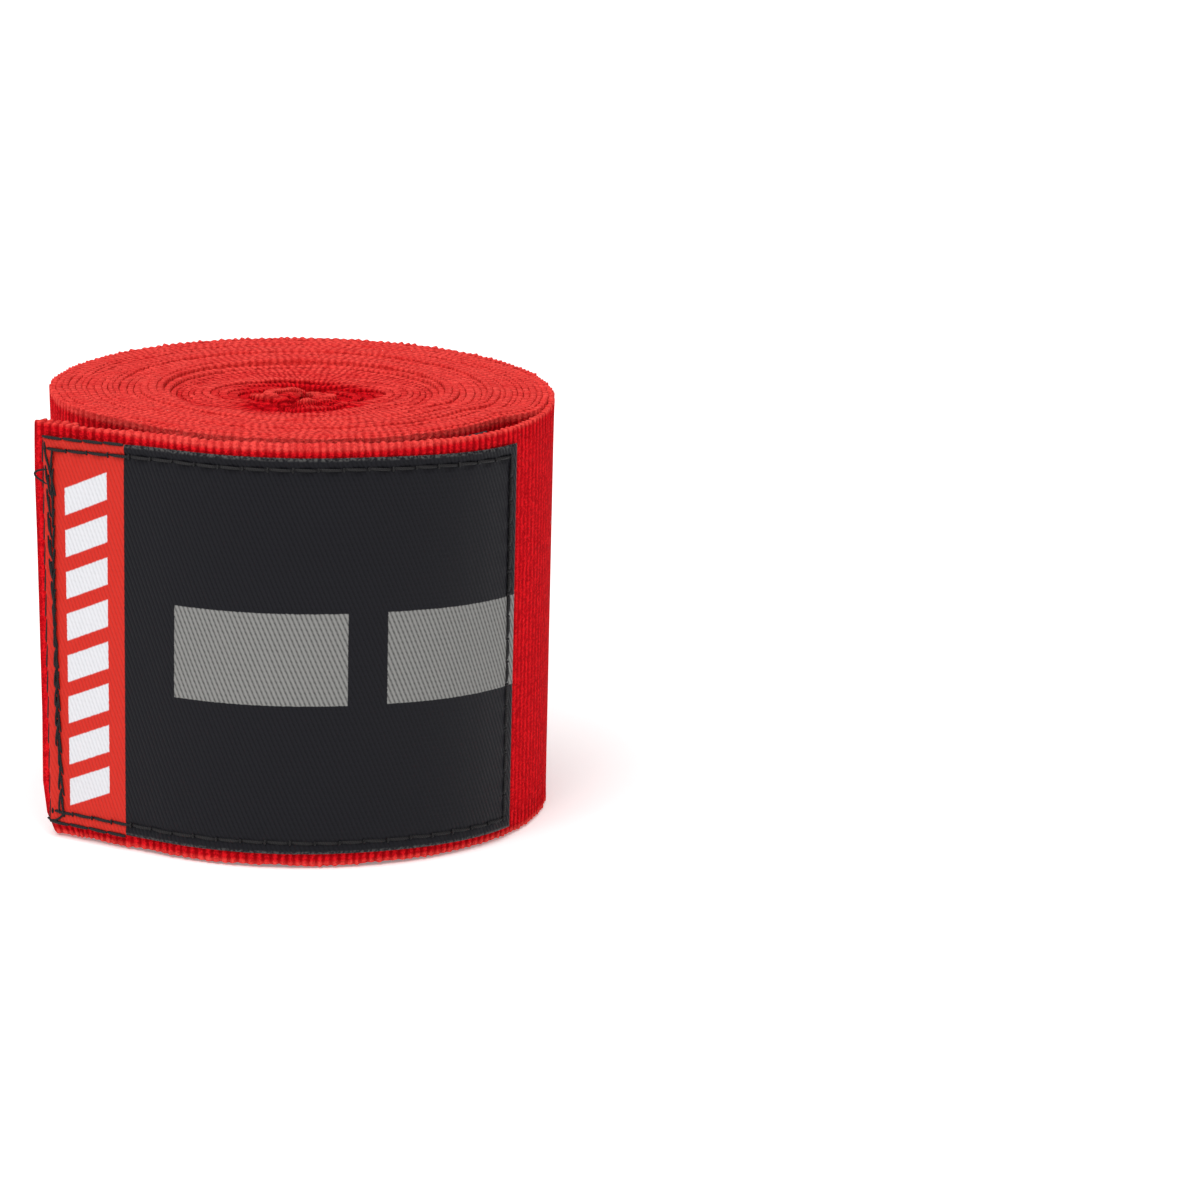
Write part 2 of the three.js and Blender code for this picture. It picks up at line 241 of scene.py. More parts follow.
class SizeSettings(bpy.types.PropertyGroup):
    """Sizes of the cloth, the tapes and the stitches."""

    cloth: metres("Cloth thickness", "Thickness of the cotton strip", 0.00069)
    flap_cloth: metres("Flap cloth thickness", "Thickness of the strip where it lies loose", 0.00085)
    pitch: metres("Turn pitch", "How much a turn adds to the roll's radius", 0.00072)
    rib: metres("Rib pitch", "Distance between two ribs along the strip", 0.00094)
    rib_height: metres("Rib height", "Height of a rib on the face of the cloth", 0.00010)
    hem: metres("Hem length", "Length of the hem folded under at the free end", 0.0045)
    label: metres("Label thickness", "Thickness of the woven label", 0.00042)
    fine_thread: metres("Fine thread diameter", "Diameter of the thread of the end rows", 0.00026)
    stitch: metres("Stitch length", "Length of one stitch", 0.0028)
    thread: metres("Thread diameter", "Diameter of the sewing thread", 0.00039)
    hooks: IntProperty(
        name="Hooks across", description="Rows of hooks across the hook tape", default=40,
    )
    loops: IntProperty(
        name="Pile loops", description="Number of loops on the loop tape", default=4400,
    )


class ColourSettings(bpy.types.PropertyGroup):
    """Colours of the cloth, the label, the tapes and the thread."""

    cotton: swatch("Cotton", "Red of the cotton strip", (0.70, 0.0035, 0.010))
    # Also the painted sheen on the strip's edges, the roll's top and bottom faces
    cotton_light: swatch("Cotton, raised", "Red of the raised fibres", (0.88, 0.080, 0.066))
    satin: swatch("Label ground", "Black ground of the label", (0.0085, 0.0083, 0.0112))
    # A darker share of this grey is also the painted sheen on the label's folded edges
    block: swatch("Label blocks", "Grey of the plain blocks", (0.232, 0.230, 0.222))
    panel: swatch("Label end panel", "Red panel at the label's free end", (0.63, 0.026, 0.016))
    marks: swatch("Label marks", "White of the plain bars", (0.74, 0.74, 0.77))
    tape: swatch("Tape", "Ground of both tapes", (0.022, 0.022, 0.026))
    pile: swatch("Pile", "Loops of the loop tape", (0.032, 0.032, 0.037))
    thread: swatch("Thread", "Sewing thread", (0.014, 0.013, 0.014))


class StageSettings(bpy.types.PropertyGroup):
    """The camera's place, aim and lens."""

    distance: metres("Camera distance", "Level distance from the roll's axis", 0.5654)
    height: metres("Camera height", "Height above the floor", 0.1714)
    turn: degrees("Turn", "Turn to the right of the roll", 3.61)
    tilt: degrees("Tilt", "Tilt below the horizon", 14.55)
    roll: degrees("Roll", "Roll about the line of sight", 1.43)
    lens: FloatProperty(
        name="Lens", description="Focal length in millimetres on a 36 mm wide film",
        default=147.0,
    )


def mm(name):
    """One of the size settings, in millimetres."""
    return getattr(bpy.context.scene.hand_wrap_sizes, name) / MM


def tint(name, share=1.0):
    """One of the colour settings, made darker or lighter by share, with alpha."""
    channels = getattr(bpy.context.scene.hand_wrap_colours, name)
    return (*(min(1.0, channel * share) for channel in channels), 1.0)


# Paths and shapes


def ease(t, start, end):
    """Smooth step from 0 at start to 1 at end: three t squared minus two t cubed of the
    way between them, held at its ends."""
    t = np.clip((t - start) / (end - start), 0, 1)
    return t * t * (3 - 2 * t)


def fade(t, start, end):
    """The same step downwards, from 1 to 0."""
    return 1 - ease(t, start, end)


def compass(angle):
    """Unit vectors outwards and clockwise at each angle round the roll."""
    turn = np.radians(angle)
    out = np.stack([np.cos(turn), np.sin(turn)], -1)
    ahead = np.stack([np.sin(turn), -np.cos(turn)], -1)
    return out, ahead


def at_height(plan, z):
    """Points from their plan and their height."""
    return np.concatenate([plan, z[..., None]], -1)


def unit(vectors):
    """The same directions at length 1."""
    return vectors / np.linalg.norm(vectors, axis=-1, keepdims=True)


def flap_path(s):
    """Points on the strip's outer face and its normals, s along the flap from its hinge.

    An arc of the roll's radius, then a straight line on from the arc's last tangent.
    """
    arc = np.minimum(s, ARC_LENGTH)
    out, ahead = compass(PIVOT_ANGLE - np.degrees(arc / ROLL_RADIUS))
    straight = np.maximum(s - ARC_LENGTH, 0)
    return ROLL_RADIUS * out + ahead * straight[..., None], out


def turn_radius(a):
    """Outer radius of the wound strip at unwound angle a, at mid height.

    It loses one pitch a turn. Between the seat's angles a smooth dip is taken off too,
    and the dip fades away evenly over all the turns underneath.
    """
    past = np.mod(a, 360)
    dip = ease(past, *SEAT_FALLS) + np.where(a >= 360, fade(past, 0, SEAT_RISES), 0)
    left = np.clip(1 - (a - 360) / SEAT_FADES, 0, 1)
    return ROLL_RADIUS - mm("pitch") * a / 360 - SEAT_DEPTH * dip * left


def lobes(angle):
    """Lobes round the pinched centre, from about -1 to 1: cosines of one to four times the
    angle, so that the left and right lobes are the longer ones and no two are alike."""
    turns = np.radians(angle)
    return sum(size * np.cos(k * (turns - math.radians(at))) for size, k, at in LOBES)


def swirl(radius):
    """Degrees by which the lobes are turned on, dying out outwards by an exponential."""
    return SWIRL * np.exp(-radius / SWIRL_RADIUS)


def end_radius(a, radius):
    """The turn's radius at the ends of the roll: the inner turns spread out into the
    space over the thumb loop and fold into lobes, more the nearer the centre. Smooth
    random amounts are added to them, and a flare to the outer turns."""
    reach = np.clip((SPREAD_RADIUS - radius) / (SPREAD_RADIUS - HOLLOW_RADIUS), 0, 1.02)
    spread = radius - (HOLLOW_RADIUS - CORE_RADIUS) * reach**1.5
    strength = LOBE_SHARE * fade(spread, 0, LOBE_RADIUS)
    turned = swirl(spread) + RIPPLE * np.sin(spread * 0.9) * fade(spread, 0, 13)
    past = np.mod(a, 360)
    flare = ease(past, *FLARE_STARTS) * fade(past, *FLARE_STOPS) * ease(radius, *FLARE_RADII)
    loose = wander(a, 47.0, 15) * ease(a, TURNS_START, TURNS_START + 720)
    loose = loose * np.minimum(1, spread / 4)
    folded = spread * (1 + strength * lobes(PIVOT_ANGLE + a + turned))
    return folded + LOOSE_TURNS * loose + RIM_FLARE * flare


def innermost():
    """Unwound angle of the strip's inner end, the first where the hollow is reached."""
    a = np.arange(360.0, 14000.0, 1.0)
    return float(a[np.argmax(turn_radius(a) < HOLLOW_RADIUS)])


def spiral_table():
    """Unwound angles and the strip's length from the hinge in to each, summed along it."""
    a = np.arange(0.0, innermost() + 361, 0.5)
    points = compass(PIVOT_ANGLE + a)[0] * turn_radius(a)[:, None]
    steps = np.linalg.norm(np.diff(points, axis=0), axis=1)
    return a, np.concatenate([[0], np.cumsum(steps)])


def stretched(s):
    """The place along the strip at which the ribs are counted: it runs ahead and falls
    behind by parts of a rib, since the cloth is stretched unevenly."""
    return s + mm("rib") * (0.20 * wander(s, 2.7, 5) + 0.75 * wander(s, 8.0, 6))


def ribs(s):
    """Height of the ribs at s along the strip, from 0 to 1: a raised cosine, each rib with
    its own share and a slightly uneven width."""
    share = np.random.default_rng(3).uniform(0.30, 1.0, 8192)
    count = stretched(s) / mm("rib")
    index = np.floor(count + 0.5).astype(int) % len(share)
    return (0.5 + 0.5 * np.cos(2 * np.pi * count)) ** 0.8 * share[index]


def wander(s, wavelength, seed):
    """Smooth random values from -1 to 1 along s: cubic steps between random heights."""
    values = np.random.default_rng(seed).uniform(-1, 1, 4096)
    low = np.floor(s / wavelength).astype(int)
    part = ease(s / wavelength - low, 0, 1)
    return values[low % 4096] * (1 - part) + values[(low + 1) % 4096] * part


# Meshes


def add_mesh(name, points, groups, look, maps):
    """A smooth mesh object in the material of the name look. groups are arrays of faces,
    (count, corners), and maps are UV maps by name, each a list of one (count, corners, 2)
    array for each group."""
    corners = np.concatenate([g.reshape(-1) for g in groups]).astype(np.int32)
    sizes = np.concatenate([np.full(len(g), g.shape[1]) for g in groups])
    starts = np.concatenate([[0], np.cumsum(sizes)[:-1]]).astype(np.int32)
    mesh = bpy.data.meshes.new(name)
    mesh.vertices.add(len(points))
    mesh.loops.add(len(corners))
    mesh.polygons.add(len(sizes))
    mesh.vertices.foreach_set("co", (points * MM).astype(np.float32).ravel())
    mesh.loops.foreach_set("vertex_index", corners)
    mesh.polygons.foreach_set("loop_start", starts)
    mesh.polygons.foreach_set("use_smooth", np.ones(len(sizes), bool))
    for title, parts in maps.items():
        uv = np.concatenate([part.reshape(-1, 2) for part in parts])
        mesh.uv_layers.new(name=title).data.foreach_set("uv", uv.astype(np.float32).ravel())
    mesh.update(calc_edges=True)
    mesh.validate()
    mesh.set_sharp_from_angle(angle=math.radians(75))
    mesh.materials.append(material(look))
    piece = bpy.data.objects.new(name, mesh)
    bpy.context.scene.collection.objects.link(piece)
    return piece


def closed_mesh(name, points, groups, look, maps):
    """Such an object whose faces are turned over if they point inwards, which is so if the
    volumes between each face and the origin add up to less than nothing."""
    volume = 0.0
    for group in groups:
        first = points[group[:, 0]]
        for k in range(1, group.shape[1] - 1):
            b, c = points[group[:, k]], points[group[:, k + 1]]
            volume += np.einsum("ij,ij->i", first, np.cross(b, c)).sum()
    if volume < 0:
        groups = [group[:, ::-1] for group in groups]
        maps = {title: [part[:, ::-1] for part in parts] for title, parts in maps.items()}
    return add_mesh(name, points, groups, look, maps)


def ribbon(name, outer, inner, along, heights, look, joined=False):
    """A closed band from two grids of points, (steps, rows, 3): up the outer face and down
    the inner one at each step, with both ends closed by quads between matching rows. A
    joined band closes on itself instead. along and heights are the map's coordinates. The
    bake map lays the band out in lines one over another, with its two ends below them."""
    steps, rows = outer.shape[:2]
    ring = 2 * rows
    points = np.concatenate([outer, inner[:, ::-1]], axis=1).reshape(-1, 3)
    last = steps if joined else steps - 1
    i, j = np.meshgrid(np.arange(last), np.arange(ring), indexing="ij")
    i, j = i.ravel(), j.ravel()
    after, beside = (i + 1) % steps, (j + 1) % ring
    groups = [np.stack([i * ring + j, after * ring + j, after * ring + beside, i * ring + beside], 1)]
    cap = np.arange(rows - 1)
    if not joined:
        foot = np.stack([cap, cap + 1, ring - 2 - cap, ring - 1 - cap], 1)
        groups += [foot, foot[:, ::-1] + (steps - 1) * ring]

    cloth = np.stack([
        np.repeat(along, ring),
        np.concatenate([heights, heights[:, ::-1]], axis=1).ravel(),
    ], 1)
    if joined:
        cloth[:, 0] = np.repeat(np.linspace(0, along[-1], steps), ring)
    weave = [cloth[g] for g in groups]

    tall = np.ptp(heights) * 2
    lines = max(1, round(math.sqrt(abs(along[-1] - along[0]) / tall)))
    per_line = math.ceil(last / lines)
    line, cell = i // per_line, i % per_line
    u = 0.004 + 0.99 * np.stack([cell, cell + 1, cell + 1, cell], 1) / per_line
    v = np.stack([j, j, j + 1, j + 1], 1) / ring
    v = 0.02 + 0.975 * (line[:, None] + 0.01 + 0.98 * v) / lines
    flat = [np.stack([u, v], -1)]
    for k in range(len(groups) - 1):
        near = (cap[:, None] + np.array([[0, 1, 1, 0]])) / rows
        edge = np.broadcast_to([[0, 0, 1, 1]], near.shape)
        flat.append(np.stack([0.02 + 0.45 * near + 0.5 * k, 0.002 + 0.012 * edge], -1))
    return closed_mesh(name, points, groups, look, {"cloth": weave, "OFBake": flat})


def tubes(name, centres, radii, up, sides, look):
    """Many short closed tubes in one mesh. centres is (count, rings, 3), radii (count,
    rings) and up (count, 3). Each ring is a circle across the tube's tangent. The bake
    map gives each tube a square of its own, with its two ends beside its wall."""
    count, rings = centres.shape[:2]
    tangent = unit(np.gradient(centres, axis=1))
    side = unit(np.cross(tangent, up[:, None, :]))
    lift = np.cross(side, tangent)
    turn = 2 * np.pi * np.arange(sides) / sides
    circle = side[:, :, None] * np.cos(turn)[:, None] + lift[:, :, None] * np.sin(turn)[:, None]
    points = (centres[:, :, None] + radii[:, :, None, None] * circle).reshape(-1, 3)
    k, i, j = np.meshgrid(np.arange(count), np.arange(rings - 1), np.arange(sides), indexing="ij")
    k, i, j = k.ravel(), i.ravel(), j.ravel()
    beside = (j + 1) % sides
    low, high = (k * rings + i) * sides, (k * rings + i + 1) * sides
    walls = np.stack([low + j, low + beside, high + beside, high + j], 1)
    around = np.arange(sides)
    starts = np.arange(count)[:, None] * rings * sides
    groups = [walls, starts + around[::-1], starts + (rings - 1) * sides + around]

    length = np.concatenate([
        np.zeros((count, 1)),
        np.cumsum(np.linalg.norm(np.diff(centres, axis=1), axis=2), axis=1),
    ], axis=1)
    lower, upper = length[k, i], length[k, i + 1]
    twist = [np.stack([
        np.stack([lower, lower, upper, upper], 1),
        np.stack([j, j + 1, j + 1, j], 1) / sides,
    ], -1)]
    twist += [np.zeros((count, sides, 2)), np.zeros((count, sides, 2))]

    grid = math.ceil(math.sqrt(count))
    column, row = k % grid, k // grid
    u = (column[:, None] + 0.1 + 0.6 * np.stack([i, i, i + 1, i + 1], 1) / (rings - 1)) / grid
    v = (row[:, None] + 0.1 + 0.8 * np.stack([j, j + 1, j + 1, j], 1) / sides) / grid
    flat = [np.stack([u, v], -1)]
    each = np.arange(count)
    for offset in (0.3, 0.7):
        u = (each % grid)[:, None] + 0.85 + 0.08 * np.cos(turn)
        v = (each // grid)[:, None] + offset + 0.15 * np.sin(turn)
        flat.append(np.stack([u, v], -1) / grid)
    return closed_mesh(name, points, groups, look, {"cloth": twist, "OFBake": flat})


def stitches(places, normals, lean=0.10, sink=0.30, diameter=None):
    """Centres, radii and outward directions of a row of lockstitches. places and normals
    are (count + 1, 3): the needle holes, and the cloth's outward direction there. Each
    stitch rises out of one hole, runs just over the cloth, a little aslant, and dives
    into the next, on a flattened arch."""
    t = np.linspace(0, 1, 9)
    arch = np.sin(np.pi * t) ** 0.45
    start, end = places[:-1, None], places[1:, None]
    normal = 0.5 * (normals[:-1] + normals[1:])
    across = unit(np.cross((end - start)[:, 0], normal))
    radius = (diameter or mm("thread")) / 2
    centres = start + (end - start) * (0.03 + 0.94 * t)[None, :, None]
    rise = radius * 0.9 - sink * (1 - arch)
    centres = centres + normal[:, None] * rise[None, :, None]
    centres = centres + across[:, None] * (lean * (t - 0.5))[None, :, None]
    radii = np.broadcast_to(radius * (0.7 + 0.3 * arch), centres.shape[:2])
    return centres, radii, normal


def mirrored(distances):
    """Distances from the lower edge and then from the upper edge, and a sign for each:
    1 in the lower half and -1 in the upper."""
    edge = np.array([*distances, *distances[::-1]])
    return edge, np.repeat([1, -1], len(distances))


def cloth_faces(face, normal, thick, s, low, high, distances, bump=SELVEDGE_BUMP):
    """Outer and inner faces and heights of ribbed cloth. face is the plan of its outer
    face. Ribs stand proud of it, by a raised cosine times an exponential that is largest at
    the selvedges. The two faces close towards each other over the last 0.3 mm, and the
    ribs end in small bumps there."""
    edge, side = mirrored(distances)
    rib = ribs(s)[:, None] - 0.5
    fray = 0.045 * wander(s, 0.31, 23)[:, None] * np.exp(-edge / 0.3)
    proud = 0.3 + 2.2 * bump / SELVEDGE_BUMP * np.exp(-edge / 1.8)
    lift = mm("rib_height") * rib * proud + fray
    close = thick * np.interp(edge, (0, 0.10, 0.30), (0.10, 0.03, 0))
    outer = face + normal * (lift - close)[..., None]
    inner = face - normal * (thick - close + 0.5 * lift)[..., None]
    base = np.where(side > 0, low[:, None], high[:, None])
    frayed = 0.05 * wander(s, 0.43, 24)[:, None]
    bumps = bump * np.where(side > 0, LOWER_BUMPS, 1) * rib
    heights = base + side * (edge - (bumps + frayed) * np.exp(-edge / 0.4))
    return at_height(outer, heights), at_height(inner, heights), heights


# Materials


class Value:
    """A node's output socket. Arithmetic on it adds Math nodes."""

    def __init__(self, paint, socket):
        self.paint = paint
        self.socket = socket

    def math(self, operation, *others):
        return self.paint.node("ShaderNodeMath", {"operation": operation}, [self, *others])

    def __add__(self, other):
        return self.math("ADD", other)

    def __sub__(self, other):
        return self.math("SUBTRACT", other)

    def __rsub__(self, other):
        return self.math("MULTIPLY", -1) + other

    def __mul__(self, other):
        return self.math("MULTIPLY", other)

    def __truediv__(self, other):
        return self.math("DIVIDE", other)

    def __pow__(self, other):
        return self.math("POWER", other)

    __radd__ = __add__
    __rmul__ = __mul__

    def wave(self, period, shift=0.0):
        """A cosine of this value, from 0 to 1, with the given period."""
        turned = self * (2 * math.pi / period) + shift
        return turned.math("COSINE") * 0.5 + 0.5

    def ramp(self, low, high):
        """0 below low and 1 above high, smoothly."""
        settings = {"interpolation_type": "SMOOTHSTEP"}
        return self.paint.node("ShaderNodeMapRange", settings, [self, low, high, 0, 1])

    def between(self, low, high, soft):
        """1 between low and high, and 0 outside."""
        return self.ramp(low - soft, low + soft) * (1 - self.ramp(high - soft, high + soft))


class Paint:
    """A material, and the one way in which its nodes are added."""

    def __init__(self, name, **constants):
        self.material = bpy.data.materials.new(name)
        self.material.use_nodes = True
        self.tree = self.material.node_tree
        self.shader = self.tree.nodes["Principled BSDF"]
        for socket, value in constants.items():
            self.shader.inputs[socket.replace("_", " ")].default_value = value

    def node(self, kind, settings, inputs, output=0):
        """Adds a node. inputs is a list from the first socket on, or a dict by name or
        number, of values and links."""
        node = self.tree.nodes.new(kind)
        for title, value in settings.items():
            setattr(node, title, value)
        given = inputs.items() if isinstance(inputs, dict) else enumerate(inputs)
        for key, value in given:
            if isinstance(value, Value):
                self.tree.links.new(value.socket, node.inputs[key])
            else:
                node.inputs[key].default_value = value
        return Value(self, node.outputs[output])

    def mix(self, factor, first, second):
        """The first colour where factor is 0 and the second where it is 1."""
        inputs = {0: factor, 6: first, 7: second}
        return self.node("ShaderNodeMix", {"data_type": "RGBA"}, inputs, 2)

    def shades(self, factor, name, dark, light):
        """A colour setting, from its dark share at factor 0 to its light share at 1."""
        return self.mix(factor, tint(name, dark), tint(name, light))

    def cloth_map(self):
        """The piece's own map: millimetres along it and across it."""
        uv = self.node("ShaderNodeUVMap", {"uv_map": "cloth"}, {})
        along = self.node("ShaderNodeSeparateXYZ", {}, [uv])
        return along, Value(self, along.socket.node.outputs[1])

    def noise(self, scale, detail=2.0, stretch=(1, 1, 1)):
        """Noise on the object's coordinates, its scale in bumps a millimetre."""
        point = self.node("ShaderNodeTexCoord", {}, {}, "Object")
        inputs = {"Vector": point, "Scale": tuple(scale / MM * k for k in stretch)}
        point = self.node("ShaderNodeMapping", {}, inputs)
        return self.node("ShaderNodeTexNoise", {}, {"Vector": point, "Scale": 1.0, "Detail": detail})

    def feed(self, socket, value):
        """Links a value to one of the shader's sockets."""
        self.tree.links.new(value.socket, self.shader.inputs[socket])

    def finished(self, colour, roughness=None, height=None, depth=0.0):
        """The material, with its colour, its roughness, and its surface raised by height
        times depth in millimetres."""
        self.feed("Base Color", colour)
        if roughness:
            self.feed("Roughness", roughness)
        if height:
            inputs = {"Height": height, "Distance": depth * MM, "Strength": 1.0}
            self.feed("Normal", self.node("ShaderNodeBump", {}, inputs))
        return self.material


def cotton_material():
    """Ribbed elastic cotton: rows of small stitches along each rib, fuzz, and a colour that
    is lighter on the raised fibres, with a painted sheen on the selvedges and painted
    shade between the ribs near them."""
    paint = Paint(
        "red_cotton", Roughness=0.95, Specular_IOR_Level=0.02, Sheen_Weight=0.015,
        Sheen_Roughness=0.5, Sheen_Tint=(1.0, 0.25, 0.20, 1),
    )
    stitch_length = 0.52
    along, across = paint.cloth_map()
    rib = along.wave(mm("rib"))
    fuzz = paint.noise(4.2, 3.0)
    cloud = paint.noise(0.35)
    strand = paint.noise(2.1, 2.0, (1, 1, 0.6))
    stitch = (across / stitch_length + strand * 3.0).wave(1.0) * fuzz
    raised = rib * strand * 0.42 + stitch * 0.26 + fuzz * 0.60 + strand * 0.42
    fleck = raised.ramp(0.50, 0.95)
    colour = paint.shades(fleck, "cotton", 0.55, 1.20)
    # Painted sheen makes the very edges the lightest, and painted shade darkens the
    # lines between ribs near them
    tip = 1 - across.between(0.75, ROLL_HEIGHT - 1.1, 0.35)
    colour = paint.mix(fleck * (tip * 0.55 + 0.08) + tip * 0.45, colour, tint("cotton_light"))
    # Painted shade: the hollows between ribs near the selvedges get a darker copy of the red
    selvedge = 1 - across.between(2.6, ROLL_HEIGHT - 2.8, 0.5)
    painted_rib_shade = (1 - rib).ramp(0.50, 0.95) * selvedge * (1 - tip * 0.7) * 0.80
    colour = paint.mix(painted_rib_shade, colour, tint("cotton", 0.42))
    colour = paint.mix(cloud.ramp(0.40, 0.75) * 0.25, colour, tint("cotton", 0.90))
    return paint.finished(colour, None, raised, 0.20)


def label_material():
    """Satin weave with a red end panel, a column of plain slanted bars and two plain
    blocks, laid out in millimetres along the flap and up the label."""
    paint = Paint("label_satin", Specular_IOR_Level=0.11)
    along, across = paint.cloth_map()
    grain = paint.noise(3.4)
    # Weave: steep diagonal lines between the floats, darkest where a float ends
    line = (along - across * 0.42 + grain * 0.12).wave(0.54)
    float_end = (across + grain * 0.3).wave(0.62)
    weave = 1 - (1 - line) ** 1.8 * (0.70 + float_end * 0.30)
    # Every pattern has a slightly ragged outline
    ragged = (grain - 0.5) * 0.16
    across_ragged, along_ragged = across + ragged, along + ragged
    panel = along_ragged.ramp(PANEL_START - 0.05, PANEL_START + 0.05)
    low, high = BAR_HEIGHTS
    count = (across - low + (along - BAR_START) * BAR_SLANT + ragged) / BAR_PITCH
    bar = count.math("FRACT").between(0.5 - BAR_SHARE / 2, 0.5 + BAR_SHARE / 2, 0.02)
    bar = bar * along_ragged.between(BAR_START, BAR_END, 0.04)
    bar = bar * count.between(0, (high - low) / BAR_PITCH, 0.01)
    first, second = (
        along_ragged.between(*span, 0.05) * across_ragged.between(*BLOCK_HEIGHTS, 0.05)
        for span in BLOCKS
    )
    colour = paint.shades(weave, "satin", 0.70, 1.06)
    colour = paint.mix(first + second, colour, paint.shades(weave, "block", 0.36, 1.10))
    colour = paint.mix(panel, colour, paint.shades(weave, "panel", 0.82, 1.00))
    colour = paint.mix(bar, colour, paint.shades(weave, "marks", 0.88, 1.00))
    # The folded edges are painted lighter where they are rubbed: partly wear, and partly a painted
    # sheen
    sheen_and_wear = 1 - across.between(LABEL_LOW + 0.34, LABEL_HIGH - 0.34, 0.14)
    sheen_and_wear = sheen_and_wear * (1 - panel) * grain.ramp(0.40, 0.66) * 0.38
    colour = paint.mix(sheen_and_wear, colour, tint("block", 0.75))
    roughness = 0.50 - weave * 0.10 + bar * 0.15 + grain * 0.06
    return paint.finished(colour, roughness, weave + grain * 0.35, 0.045)


def tape_material():
    """Woven nylon ground of the two tapes, with fine cross ribs."""
    paint = Paint("tape_ground", Specular_IOR_Level=0.35)
    along, across = paint.cloth_map()
    raised = along.wave(0.42) * across.wave(0.50) * 0.7 + paint.noise(4.0) * 0.4
    colour = paint.shades(raised, "tape", 0.6, 1.9)
    return paint.finished(colour, 0.75 - raised * 0.20, raised, 0.06)


def fibre_material(name, tone, roughness, twist):
    """Thread or filament: fine plies that run round it at a slant, and small changes of
    shade from place to place."""
    paint = Paint(name, Specular_IOR_Level=0.22)
    along, around = paint.cloth_map()
    ply = (along / twist + around).wave(0.5)
    grain = paint.noise(1.6)
    colour = paint.shades(ply * 0.6 + grain * 0.4, tone, 0.35, 1.35)
    return paint.finished(colour, roughness + grain * 0.15, ply, 0.03)


def floor_material():
    """Pale matt floor with a barely visible grain."""
    paint = Paint(
        "pale_floor", Roughness=0.9, Specular_IOR_Level=0.1,
        Emission_Color=(1, 1, 1, 1), Emission_Strength=0.22,
    )
    pale, paler = (0.93, 0.93, 0.93, 1), (0.96, 0.96, 0.96, 1)
    return paint.finished(paint.mix(paint.noise(0.02), pale, paler))


MAKERS = {
    "cotton": cotton_material,
    "label": label_material,
    "tape": tape_material,
    "thread": lambda: fibre_material("sewing_thread", "thread", 0.50, 0.55),
    "hook": lambda: fibre_material("hook_filament", "tape", 0.35, 1.0),
    "pile": lambda: fibre_material("loop_filament", "pile", 0.60, 0.8),
    "floor": floor_material,
}
MADE = {}


def material(look):
    """One of the materials, made once."""
    if look not in MADE:
        MADE[look] = MAKERS[look]()
    return MADE[look]


# Pieces


def finish_piece(piece, bodies, slot, *nodes):
    """Lets a piece on one body ride on it, and hides the frame nodes that it stands for. A
    piece on two bodies only has its transform baked and does not bend; slot is not used."""
    if bodies in BENDS:
        angle, radius, bend_length = BENDS[bodies]
        out, ahead = compass(angle)
        start, end = (
            (*((radius * out + k * bend_length * ahead) * MM).tolist(), ROLL_HEIGHT / 2 * MM)
            for k in (0, 1)
        )
        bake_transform(piece)
    else:
        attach(piece, *bodies)
    if nodes:
        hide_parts(*nodes)


def sewn(name, rows, bodies, *nodes):
    """One piece of sewing thread from rows of tubes, each row its centres, radii and ups."""
    centres, radii, up = (np.concatenate(part) for part in zip(*rows))
    piece = tubes(name, centres, radii, up, 6, "thread")
    finish_piece(piece, bodies, "black_thread", *nodes)


def turn_heights(a, radius, s):
    """Lower and upper edge of each turn. The inner turns stand a little lower in two
    steps, neighbours differ by smooth random amounts, and the folds between the lobes
    are drawn down."""
    inside = fade(radius, *INNER_STEP)
    centre = fade(radius, *CENTRE_STEP)
    folds = np.clip(-lobes(PIVOT_ANGLE + a + swirl(radius)) - 0.12, 0, 1)
    parts = (1, inside, centre, folds * fade(radius, 0, 13))
    uneven = 0.17 * wander(a, 700.0, 11) + 0.10 * wander(a, 120.0, 12) + 0.07 * wander(s, 3.1, 13)
    uneven = uneven * ease(a, OUTER_TURN_START, OUTER_TURN_START + 360)
    uneven = uneven + CENTRE_UNEVEN * wander(a, 80.0, 31) * fade(radius, 2, 14)
    below = sum(size * part for size, part in zip(EDGE_BELOW, parts))
    above = sum(size * part for size, part in zip(EDGE_ABOVE, parts))
    # The lower edges never reach the floor
    return np.maximum(below + uneven * 0.6, 0.02), ROLL_HEIGHT - above + uneven


def wound_strip(name, start, end, step, distances, bump=SELVEDGE_BUMP):
    """A stretch of the wound strip from one unwound angle in to another. Each point's
    radius goes over from the turn's radius at mid height to its radius at the ends of the
    roll, and the cloth is pressed thinner where the turns lie close."""
    angles, lengths = spiral_table()
    s = np.arange(np.interp(start, angles, lengths), np.interp(end, angles, lengths), step)
    a = np.interp(s, lengths, angles)
    share = fade(mirrored(distances)[0], *PINCH)

    def radius_at(turned):
        middle = turn_radius(turned)
        return middle[:, None] + (end_radius(turned, middle) - middle)[:, None] * share

    radius = radius_at(a)
    room = radius - radius_at(a + 360)
    most = mm("cloth") + (PACKED_CLOTH - mm("cloth")) * share
    thick = np.clip(0.97 * room, THINNEST_CLOTH, most)
    out = compass(PIVOT_ANGLE + a)[0][:, None]
    low, high = turn_heights(a, radius[:, 0], s)
    face = out * radius[..., None]
    outer, inner, heights = cloth_faces(face, out, thick, -s, low, high, distances, bump)
    piece = ribbon(name, outer, inner, stretched(-s), heights, "cotton")
    finish_piece(piece, ON_ROLL, "red_cotton", "rolled_strip")


